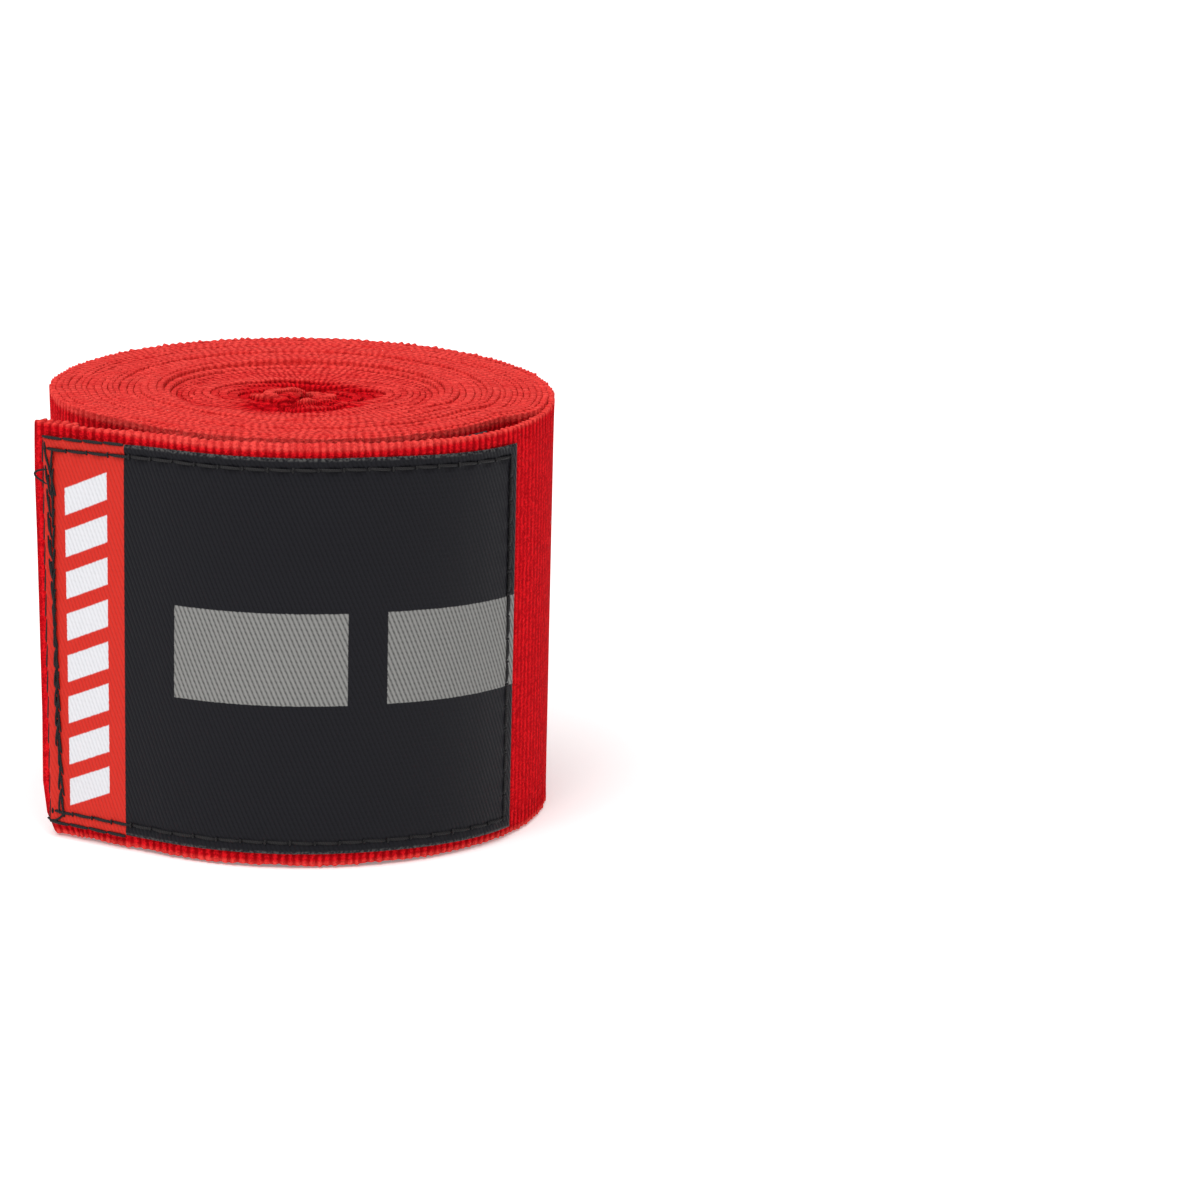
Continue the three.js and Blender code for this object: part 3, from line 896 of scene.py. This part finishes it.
class HANDWRAP_OT_turns(bpy.types.Operator):
    """Winds the strip up: the finely ribbed outer turn and the turns inside it"""

    bl_idname = "hand_wrap.turns"
    bl_label = "Wound turns"

    def execute(self, context):
        fine = (0, 0.08, 0.2, 0.42, 0.9, 2.2, 5.0, 9.0, 12.5)
        wound_strip("outer_turn", OUTER_TURN_START, TURNS_START, mm("rib") / 8, fine)
        coarse = (0, 0.10, 0.30, 4.0, 12.5)
        # Equal lengths of strip hold about equal areas of the roll's end
        outermost = turn_radius(np.array(TURNS_START))
        areas = np.linspace(outermost**2, HOLLOW_RADIUS**2, INNER_LENGTHS + 1)
        bounds = (ROLL_RADIUS - np.sqrt(areas)) / mm("pitch") * 360
        bounds[0], bounds[-1] = TURNS_START, innermost()
        for k, (start, end) in enumerate(zip(bounds[:-1], bounds[1:])):
            wound_strip(f"inner_turns_{k + 1}", start, end, mm("rib") / 4, coarse, TURN_BUMP)
        return {"FINISHED"}


class HANDWRAP_OT_flap(bpy.types.Operator):
    """Lays the strip's last stretch: the cloth that bends at the roll, and the flap"""

    bl_idname = "hand_wrap.flap"
    bl_label = "Flap cloth"

    def execute(self, context):
        distances = (0, 0.08, 0.2, 0.42, 0.9, 2.2, 6.0, 14.0)
        step = mm("rib") / 8
        angles, lengths = spiral_table()
        s = np.arange(-np.interp(OUTER_TURN_START, angles, lengths), SPLIT + step / 2, step)
        a = np.interp(np.maximum(-s, 0), lengths, angles)
        wound = (s < 0)[:, None]
        turn_out = compass(PIVOT_ANGLE + a)[0]
        flap_face, flap_out = flap_path(np.maximum(s, 0))
        face = np.where(wound, turn_out * turn_radius(a)[:, None], flap_face)
        out = np.where(wound, turn_out, flap_out)
        # Past the hinge the edges run on at the flap's own heights
        low, high = turn_heights(a, turn_radius(a), -s)
        loose = ease(s, -12, 8)
        low, high = low + (STRIP_LOW - low) * loose, high + (STRIP_HIGH - high) * loose
        high = high - STRIP_SAG * ease(s, -31, -7) * fade(s, *SAG_ENDS)
        thick = mm("cloth") + (mm("flap_cloth") - mm("cloth")) * loose
        outer, inner, heights = cloth_faces(
            face[:, None], out[:, None], thick[:, None], s, low, high, distances
        )
        hinge = ribbon("hinge_cloth", outer, inner, stretched(s), heights, "cotton")
        finish_piece(hinge, OVER_HINGE, "red_cotton", "flap_strip")
        self.free_cloth(distances, step)
        return {"FINISHED"}

    def free_cloth(self, distances, step):
        """The flap from there on, with its end turned under. The centre line runs along
        the flap, round a half circle, and back under it."""
        half = mm("flap_cloth") / 2
        turn = half + HEM_GAP
        straight = FLAP_LENGTH - turn - half
        p = np.arange(SPLIT, straight + math.pi * turn + mm("hem"), step)
        bend = np.clip((p - straight) / turn, 0, math.pi)
        back = np.maximum(p - straight - math.pi * turn, 0)
        s = np.minimum(p, straight) + turn * np.sin(bend) - back
        depth = half + turn * (1 - np.cos(bend))
        ground, out = flap_path(s)
        ahead = np.stack([out[:, 1], -out[:, 0]], -1)
        normal = out * np.cos(bend)[:, None] + ahead * np.sin(bend)[:, None]
        face = ground - out * depth[:, None] + normal * half
        # Past the split the edges begin to wander, and the free end narrows from above
        begun = ease(p, SPLIT, SPLIT + 4)
        narrow = EDGE_WANDER * wander(s, 5.0, 22) - END_DROP * ease(s, straight - 20, straight)
        low = STRIP_LOW + EDGE_WANDER * wander(s, 4.0, 21) * begun
        high = STRIP_HIGH + narrow * begun - STRIP_SAG * fade(s, *SAG_ENDS)
        thick = np.full((len(p), 1), 2 * half)
        outer, inner, heights = cloth_faces(
            face[:, None], normal[:, None], thick, p, low, high, distances
        )
        # The end is cut aslant, longer at the top, and its lower corner is drawn in
        share = ease(s, straight - 10, straight - 1)[:, None]
        for grid in (outer, inner):
            height = grid[..., 2]
            reach = END_SLANT * (height / ROLL_HEIGHT - 0.5) + END_REACH
            reach = reach + 0.24 * wander(height, 4.5, 33)
            corner = CORNER_PULL * np.exp(-((height / 2.2) ** 2))
            grid[..., :2] += (share * (reach - corner))[..., None] * ahead[:, None]
        flap = ribbon("flap_cloth", outer, inner, stretched(p), heights, "cotton")
        finish_piece(flap, OVER_FOLD, "red_cotton", "flap_strip", "flap_end_strip")


# The label, the tapes and their stitching


def on_flap(s, z, rise):
    """Points over the flap's outer face, s along it, at height z, rise outwards."""
    ground, out = flap_path(s)
    return at_height(ground + out * rise[..., None], z)


def on_label(s, z, rise):
    """The same for the label and its seams: towards the free end the label's end is cut a
    little aslant and its upper edge runs lower, and its other end sits a little low."""
    share = ease(s, SLANT_FROM, LABEL_TO)
    height = z / ROLL_HEIGHT
    low_end = (LABEL_SAG + TOP_SAG * height) * fade(s, 0, SAG_TO)
    drop = LABEL_DROP * share * height + low_end
    return on_flap(s + LABEL_SLANT * (height - 0.62) * share, z - drop, rise)


def on_roll(a, z, rise):
    """Points over the wound strip's outer face at unwound angle a, at height z."""
    return at_height(compass(PIVOT_ANGLE + a)[0] * (turn_radius(a) + rise)[..., None], z)


def layer(name, where, u, along, under, over, distances, look, span=(TAPE_LOW, TAPE_HIGH)):
    """A flat closed band on a surface. u runs along it and is along in millimetres, and
    its edges are at the two heights of span. under and over are the rise of its two
    faces, as numbers or worked out from u, the height and the distance to the nearest
    edge. The faces close towards each other over the last quarter millimetre along all
    four sides."""
    edge, side = mirrored(distances)
    grid = np.broadcast_to(u[:, None], (len(u), len(edge)))
    z = np.broadcast_to(np.where(side > 0, *span) + side * edge, grid.shape)
    run = np.minimum(along - along[0], along[-1] - along)[:, None]
    inset = np.minimum(edge, run)
    low, high = (rise(grid, z, inset) if callable(rise) else rise for rise in (under, over))
    close = (high - low) * np.interp(inset, (0, 0.08, 0.25), (0.42, 0.14, 0))
    outer, inner = where(grid, z, high - close), where(grid, z, low + close)
    return ribbon(name, outer, inner, along, z, look)


def label_over(s, z, inset):
    """Rise of the label's outer face: its thickness, drawn in along the seam between the
    needle holes, with slack waves in the middle."""
    drawn = np.exp(-(((inset - SEAM_INSET) / 0.42) ** 2))
    holes = 0.62 + 0.38 * np.cos(2 * np.pi * (s + z) / mm("stitch"))
    slack = 0.06 * wander(s, 6.0, 31) * ease(inset, 0, 6)
    return LABEL_RISE + mm("label") - 0.16 * drawn * holes + np.maximum(slack, -0.03)


def label_seam(s, z):
    """Rise of the label's outer face under its seam."""
    return label_over(s, z, np.full(len(s), SEAM_INSET))


def seam_row(where, first, last, rise, facing=1):
    """Needle holes in a straight row between two places, as (u, z), with small wanderings,
    and the outward direction at each."""
    first, last = np.array(first, float), np.array(last, float)
    scale = math.radians(ROLL_RADIUS) if where is on_roll else 1.0
    reach = math.hypot((last[0] - first[0]) * scale, last[1] - first[1])
    count = max(2, round(reach / mm("stitch")))
    t = np.linspace(0, 1, count + 1)[:, None]
    holes = first + (last - first) * t
    holes[:, 1] += 0.05 * wander(10 * holes[:, 0] + holes[:, 1], 7.0, 41)
    height = rise(*holes.T) if callable(rise) else np.full(count + 1, rise)
    places = where(*holes.T, height)
    return places, where(*holes.T, height + facing) - places


def seam_round(where, start, end, low, high, rise, facing=1):
    """Such rows along the upper and lower side of a seam, and up its start and its end."""
    corners = (
        ((start, high), (end, high)), ((start, low), (end, low)),
        ((start, low), (start, high)), ((end, low), (end, high)),
    )
    return [seam_row(where, first, last, rise, facing) for first, last in corners]


def ticks(places, normals):
    """Short threads across a seam at its needle holes: each a shallow arch."""
    t = np.linspace(0, 1, 9)
    arch = np.sin(np.pi * t)
    radius = mm("thread") / 2
    across = unit(np.cross(np.gradient(places, axis=0), normals))
    share = np.random.default_rng(43).uniform(0.30, 0.62, len(places))
    reach = (share[:, None] * (t - 0.5))[..., None]
    centres = places[:, None] + across[:, None] * reach
    centres = centres + normals[:, None] * (radius * 1.1 + 0.10 * arch - 0.14)[None, :, None]
    radii = np.broadcast_to(radius * (0.55 + 0.3 * arch), centres.shape[:2])
    return centres, radii, normals


class HANDWRAP_OT_label(bpy.types.Operator):
    """Makes the woven satin label, with plain blocks and slanted bars"""

    bl_idname = "hand_wrap.label"
    bl_label = "Woven label"

    def execute(self, context):
        distances = (0, 0.06, 0.14, 0.28, 0.55, 0.9, 1.15, 1.35, 1.55, 1.8, 2.3, 3.4, 6, 11, 17, 22)
        rim = np.array([0, 0.06, 0.14])
        middle = np.arange(LABEL_FROM + 0.25, LABEL_TO - 0.25, 0.2)
        s = np.concatenate([LABEL_FROM + rim, middle, [LABEL_TO - 0.25], LABEL_TO - rim[::-1]])
        label = layer(
            "woven_label", on_label, s, s, LABEL_RISE, label_over, distances, "label",
            (LABEL_LOW, LABEL_HIGH),
        )
        finish_piece(label, OVER_FOLD, "label_satin", "label", "label_end")
        return {"FINISHED"}


class HANDWRAP_OT_label_stitching(bpy.types.Operator):
    """Sews the label on: the seam round it, the rows at its free end, and the thread's
    loose ends"""

    bl_idname = "hand_wrap.label_stitching"
    bl_label = "Label stitching"

    def execute(self, context):
        top, bottom = LABEL_HIGH - SEAM_INSET, LABEL_LOW + SEAM_INSET
        right, left = LABEL_FROM + SEAM_INSET, LABEL_TO - 0.45
        rows = []
        # The label's free end has its own rows, and not the seam's fourth side
        for places, normals in seam_round(on_label, right, left, bottom, top, label_seam)[:3]:
            rows += [stitches(places, normals), ticks(places, normals)]
        # A second pass runs along the very edge of the end panel
        for z in (LABEL_HIGH + 0.02, LABEL_LOW - 0.02):
            holes = seam_row(on_label, (PANEL_START, z), (LABEL_TO, z), LABEL_RISE + 0.30)
            rows.append(stitches(*holes, sink=0.08))
        sewn("label_stitching", rows, OVER_FOLD, "label_seam", "label_end_seam")
        # The same seam's stitches on the hook tape's face
        seam = seam_round(on_flap, right, HOOK_TO - 0.9, bottom, top, -HOOK_FACE, -1)
        rows = [stitches(*holes) for holes in seam]
        sewn("hook_side_stitching", rows, OVER_FOLD, "hook_side_seam", "hook_side_end_seam")
        self.end_rows(top, bottom)
        self.loose_ends()
        return {"FINISHED"}

    def end_rows(self, top, bottom):
        """Overlapping rows of backstitching that wander over each other."""
        rows = []
        for k, (upper, lower, start, stop) in enumerate(END_ROWS):
            count = round((top - bottom) / (mm("stitch") * 0.95)) + k % 2
            z = np.linspace(bottom + start, top + stop, count)
            inset = lower + (upper - lower) * (z - bottom) / (top - bottom)
            inset = inset + (0.16 * wander(z + 31 * k, 5.5, 51) if k else 0)
            # The outermost row lies over the label's edge, lower than the others
            rise = label_over(LABEL_TO - inset, z, np.full(len(z), 1.0)) + 0.03 * k
            rise = rise - 0.16 * (inset < 0.2)
            places = on_label(LABEL_TO - inset, z, rise)
            normals = on_label(LABEL_TO - inset, z, rise + 1) - places
            lean, sink = 0.22 * (-1) ** k, 0.20 if k else 0.05
            rows.append(stitches(places, normals, lean, sink, mm("fine_thread")))
        sewn("end_row_stitching", rows, ON_END, "flap_end_rows")

    def loose_ends(self):
        """Short bits of thread, each a quadratic curve between two places on the label by
        way of a third."""
        t = np.linspace(0, 1, 24)[:, None]
        curves = []
        for first, by, last in np.array(LOOSE_THREADS):
            line = first * (1 - t) ** 2 + 2 * by * t * (1 - t) + last * t**2
            curves.append(on_label(*line.T))
        centres = np.array(curves)
        radii = np.full(centres.shape[:2], mm("fine_thread") / 2)
        up = np.broadcast_to([0.31, 0.17, 0.93], (len(centres), 3))
        piece = tubes("thread_ends", centres, radii, up, 6, "thread")
        finish_piece(piece, ON_END, "black_thread")


class HANDWRAP_OT_hook_tape(bpy.types.Operator):
    """Makes the hook tape on the flap's inner face"""

    bl_idname = "hand_wrap.hook_tape"
    bl_label = "Hook tape"

    def execute(self, context):
        s = np.arange(LABEL_FROM, HOOK_TO, 0.25)
        distances = (0, 0.08, 0.25, 2.0, 12.0)
        tape = layer(
            "hook_tape_ground", on_flap, s, s, -HOOK_FACE, TAPE_GROUND - HOOK_FACE, distances, "tape"
        )
        finish_piece(tape, OVER_FOLD, "hook_tape", "hook_tape", "hook_tape_end")

        rows = context.scene.hand_wrap_sizes.hooks
        z = np.linspace(TAPE_LOW + BARE_EDGE, TAPE_HIGH - BARE_EDGE, rows)
        u = np.linspace(LABEL_FROM + BARE_EDGE, HOOK_TO - 1.7, rows + 6)
        u, z = (g.ravel() for g in np.meshgrid(u, z, indexing="ij"))
        random = np.random.default_rng(61)
        u = u + random.uniform(-0.12, 0.12, len(u))
        z = z + random.uniform(-0.10, 0.10, len(z))
        # Each hook stands up, bends over to one side, and turns its tip down again
        side = random.choice([-1.0, 1.0], len(u)) * random.uniform(0.8, 1.1, len(u))
        height = random.uniform(0.88, 1.06, len(u))[:, None] * np.array(HOOK_RISE)
        reach = side[:, None] * np.array(HOOK_REACH)
        lean = random.uniform(-0.06, 0.06, len(u))[:, None] * np.array(HOOK_RISE)
        centres = on_flap(u[:, None] + lean, z[:, None] + reach, -HOOK_FACE - height)
        radii = np.broadcast_to(HOOK_RADII, centres.shape[:2])
        ahead = compass(PIVOT_ANGLE - np.degrees(u / ROLL_RADIUS))[1]
        up = np.concatenate([ahead, 0 * u[:, None]], 1)
        hooks = tubes("hooks", centres, radii, up, 4, "hook")
        finish_piece(hooks, OVER_FOLD, "hook_tape")
        return {"FINISHED"}


class HANDWRAP_OT_loop_tape(bpy.types.Operator):
    """Makes the loop tape on the turn under the flap, its pile and its seam"""

    bl_idname = "hand_wrap.loop_tape"
    bl_label = "Loop tape"

    def execute(self, context):
        a = np.linspace(LOOP_FROM, LOOP_TO, 420)
        length = np.radians(LOOP_TO - LOOP_FROM) * turn_radius(np.array((LOOP_FROM + LOOP_TO) / 2))
        along = np.linspace(0, float(length), len(a))
        distances = (0, 0.08, 0.25, 1.6, 6.0, 14.0)
        tape = layer(
            "loop_tape_ground", on_roll, a, along, tape_under, tape_over, distances, "tape"
        )
        finish_piece(tape, ON_ROLL, "loop_pile", "loop_tape")

        random = np.random.default_rng(71)
        count = context.scene.hand_wrap_sizes.loops
        a = random.uniform(LOOP_FROM + PILE_ENDS[0], LOOP_TO - PILE_ENDS[1], count)
        z = random.uniform(TAPE_LOW + PILE_EDGE, TAPE_HIGH - PILE_EDGE, count)
        # Each loop is half an ellipse that stands on the tape and leans over
        t = np.linspace(0, math.pi, 8)
        heading = random.uniform(0, 2 * np.pi, count)[:, None]
        reach = random.uniform(*LOOP_REACH, count)[:, None] * np.cos(t)
        height = random.uniform(*LOOP_HEIGHT, count)[:, None] * np.sin(t)
        drift = random.uniform(-LOOP_DRIFT, LOOP_DRIFT, (2, count, 1)) * np.sin(t)
        across = z[:, None] + reach * np.sin(heading) + drift[0]
        turned = a[:, None] + np.degrees((reach * np.cos(heading) + drift[1]) / ROLL_RADIUS)
        centres = on_roll(turned, across, tape_over(turned, across) + height - 0.03)
        radii = np.full(centres.shape[:2], LOOP_RADIUS)
        up = np.stack([np.cos(a * 7), np.sin(a * 7), 0.6 + 0 * a], 1)
        pile = tubes("pile_loops", centres, radii, up, 3, "pile")
        finish_piece(pile, ON_ROLL, "loop_pile")

        turn, edge = LOOP_SEAM
        start, end = LOOP_FROM + turn, LOOP_TO - turn
        seam = seam_round(on_roll, start, end, TAPE_LOW + edge, TAPE_HIGH - edge, tape_over)
        rows = [stitches(*holes) for holes in seam]
        sewn("loop_tape_stitching", rows, ON_ROLL, "loop_tape_seam")
        return {"FINISHED"}


def tape_under(a, z, inset=None):
    """Rise of the loop tape's underside: just off the cloth, with its free end and most
    of all that end's upper corner curling away."""
    end = fade(a, LOOP_FROM, LOOP_FROM + LOOP_CURL)
    return 0.05 + end * (0.25 + 0.75 * ease(z, 22, 48))


def tape_over(a, z, inset=None):
    """Rise of its outer face."""
    return tape_under(a, z) + TAPE_GROUND


class HANDWRAP_OT_thumb_loop(bpy.types.Operator):
    """Makes the thumb loop that is wound up at the roll's centre, and its bar tack"""

    bl_idname = "hand_wrap.thumb_loop"
    bl_label = "Thumb loop"

    def execute(self, context):
        # The centre line runs along the outer run, round a half circle, back along the
        # inner run, and round another half circle to its start
        inner_run, outer_run = THUMB_RUNS
        fold, middle = (outer_run - inner_run) / 2, (outer_run + inner_run) / 2
        first, last = THUMB_ANGLES
        arc = np.radians(last - first) * middle
        p = np.arange(0, 2 * arc + 2 * np.pi * fold, 0.11)
        outside = np.clip(p, 0, arc)
        bend = np.clip((p - arc) / fold, 0, np.pi)
        inside = np.clip(p - arc - np.pi * fold, 0, arc)
        close = np.clip((p - 2 * arc - np.pi * fold) / fold, 0, np.pi)
        past = fold * (np.sin(bend) * (inside <= 0) - np.sin(close))
        angle = first + np.degrees((outside - inside + past) / middle)
        radius = middle + fold * np.cos(bend + close)
        plan = compass(angle)[0] * radius[:, None]
        ahead = unit(np.roll(plan, -1, axis=0) - np.roll(plan, 1, axis=0))
        normal = np.stack([ahead[:, 1], -ahead[:, 0]], -1)
        thick = np.full((len(p), 1), THUMB_CLOTH)
        face = plan + normal * THUMB_CLOTH / 2
        low = THUMB_LOW + 0.1 + 0.05 * wander(p, 3.0, 81)
        high = THUMB_HIGH - 0.1 + 0.05 * wander(p, 3.0, 82)
        outer, inner, heights = cloth_faces(
            face[:, None], normal[:, None], thick, p, low, high, (0, 0.15, 0.45, 2.5)
        )
        band = ribbon("thumb_band", outer, inner, p, heights, "cotton", joined=True)
        finish_piece(band, ON_ROLL, "red_cotton", "thumb_loop")

        # The bar tack: close stitches side by side across the band's end
        rows = []
        radius = inner_run - THUMB_CLOTH / 2
        for k, z in enumerate(
            np.arange(THUMB_LOW + TACK_INSET, THUMB_HIGH - TACK_INSET, TACK_PITCH)
        ):
            out = compass(last - np.array(TACK_ENDS) + 2 * (-1) ** k)[0]
            places = np.concatenate([out * radius, np.full((2, 1), z)], 1)
            normals = np.concatenate([-out, np.zeros((2, 1))], 1)
            rows.append(stitches(places, normals, lean=0.3, sink=0.2))
        sewn("bar_tack_stitches", rows, ON_ROLL, "thumb_loop_bar_tack")
        return {"FINISHED"}


# Stage


class HANDWRAP_OT_stage(bpy.types.Operator):
    """Sets up the pale floor, the soft lights and the camera"""

    bl_idname = "hand_wrap.stage"
    bl_label = "Stage"

    def execute(self, context):
        sides = np.array([(-1, -1), (1, -1), (1, 1), (-1, 1)]) * FLOOR_HALF
        points = np.concatenate([sides, np.full((4, 1), -FLOOR_DROP)], 1)
        face = np.array([[0, 1, 2, 3]])
        add_mesh("floor", points, [face], "floor", {"cloth": [sides[face]]})

        world = bpy.data.worlds.new("studio")
        world.use_nodes = True
        background = world.node_tree.nodes["Background"]
        background.inputs["Color"].default_value = (1, 1, 1, 1)
        background.inputs["Strength"].default_value = SKY_STRENGTH
        context.scene.world = world
        ceiling = bpy.data.lights.new("ceiling", "SUN")
        ceiling.energy = CEILING_STRENGTH
        ceiling.angle = CEILING_ANGLE
        self.holder(context, ceiling).rotation_euler = CEILING_TURN
        for name, spot, size, power in SOFTBOXES:
            light = bpy.data.lights.new(name, "AREA")
            light.size = size
            light.energy = power
            holder = self.holder(context, light)
            holder.location = spot
            aim = np.array([0, 0, 0.03]) - np.array(spot)
            holder.rotation_euler = Vector(aim).to_track_quat("-Z", "Y").to_euler()

        stage = context.scene.hand_wrap_stage
        camera = bpy.data.cameras.new("camera")
        camera.lens = stage.lens
        camera.sensor_width = 36
        camera.clip_start = 0.05
        holder = self.holder(context, camera)
        turn = Matrix.Rotation(-stage.turn, 4, "Z") @ Matrix.Rotation(math.pi / 2 - stage.tilt, 4, "X")
        turn = turn @ Matrix.Rotation(stage.roll, 4, "Z")
        holder.matrix_world = Matrix.Translation((0, -stage.distance, stage.height)) @ turn
        context.scene.camera = holder
        context.scene.view_settings.view_transform = "Standard"
        return {"FINISHED"}

    def holder(self, context, data):
        """The object of a light or of the camera."""
        holder = bpy.data.objects.new(data.name, data)
        context.scene.collection.objects.link(holder)
        return holder


class HANDWRAP_PT_panel(bpy.types.Panel):
    """Lists the steps that build the hand wrap, and its settings"""

    bl_idname = "HANDWRAP_PT_panel"
    bl_label = "Hand wrap"
    bl_space_type = "VIEW_3D"
    bl_region_type = "UI"
    bl_category = "Hand Wrap"

    def draw(self, context):
        for operator in STEPS:
            self.layout.operator(operator.bl_idname)
        for title, settings in SETTINGS.items():
            group = getattr(context.scene, title)
            for name in settings.__annotations__:
                self.layout.prop(group, name)


STEPS = (
    HANDWRAP_OT_stage,
    HANDWRAP_OT_turns,
    HANDWRAP_OT_flap,
    HANDWRAP_OT_label,
    HANDWRAP_OT_label_stitching,
    HANDWRAP_OT_hook_tape,
    HANDWRAP_OT_loop_tape,
    HANDWRAP_OT_thumb_loop,
)
SETTINGS = {
    "hand_wrap_sizes": SizeSettings,
    "hand_wrap_colours": ColourSettings,
    "hand_wrap_stage": StageSettings,
}


def register():
    for kind in (*SETTINGS.values(), *STEPS, HANDWRAP_PT_panel):
        bpy.utils.register_class(kind)
    for title, settings in SETTINGS.items():
        setattr(bpy.types.Scene, title, PointerProperty(type=settings))


def unregister():
    for title in SETTINGS:
        delattr(bpy.types.Scene, title)
    for kind in (HANDWRAP_PT_panel, *STEPS, *SETTINGS.values()):
        bpy.utils.unregister_class(kind)


def main():
    """Builds everything."""
    register()
    for operator in STEPS:
        group, name = operator.bl_idname.split(".")
        getattr(getattr(bpy.ops, group), name)()


if __name__ == "__main__":
    main()
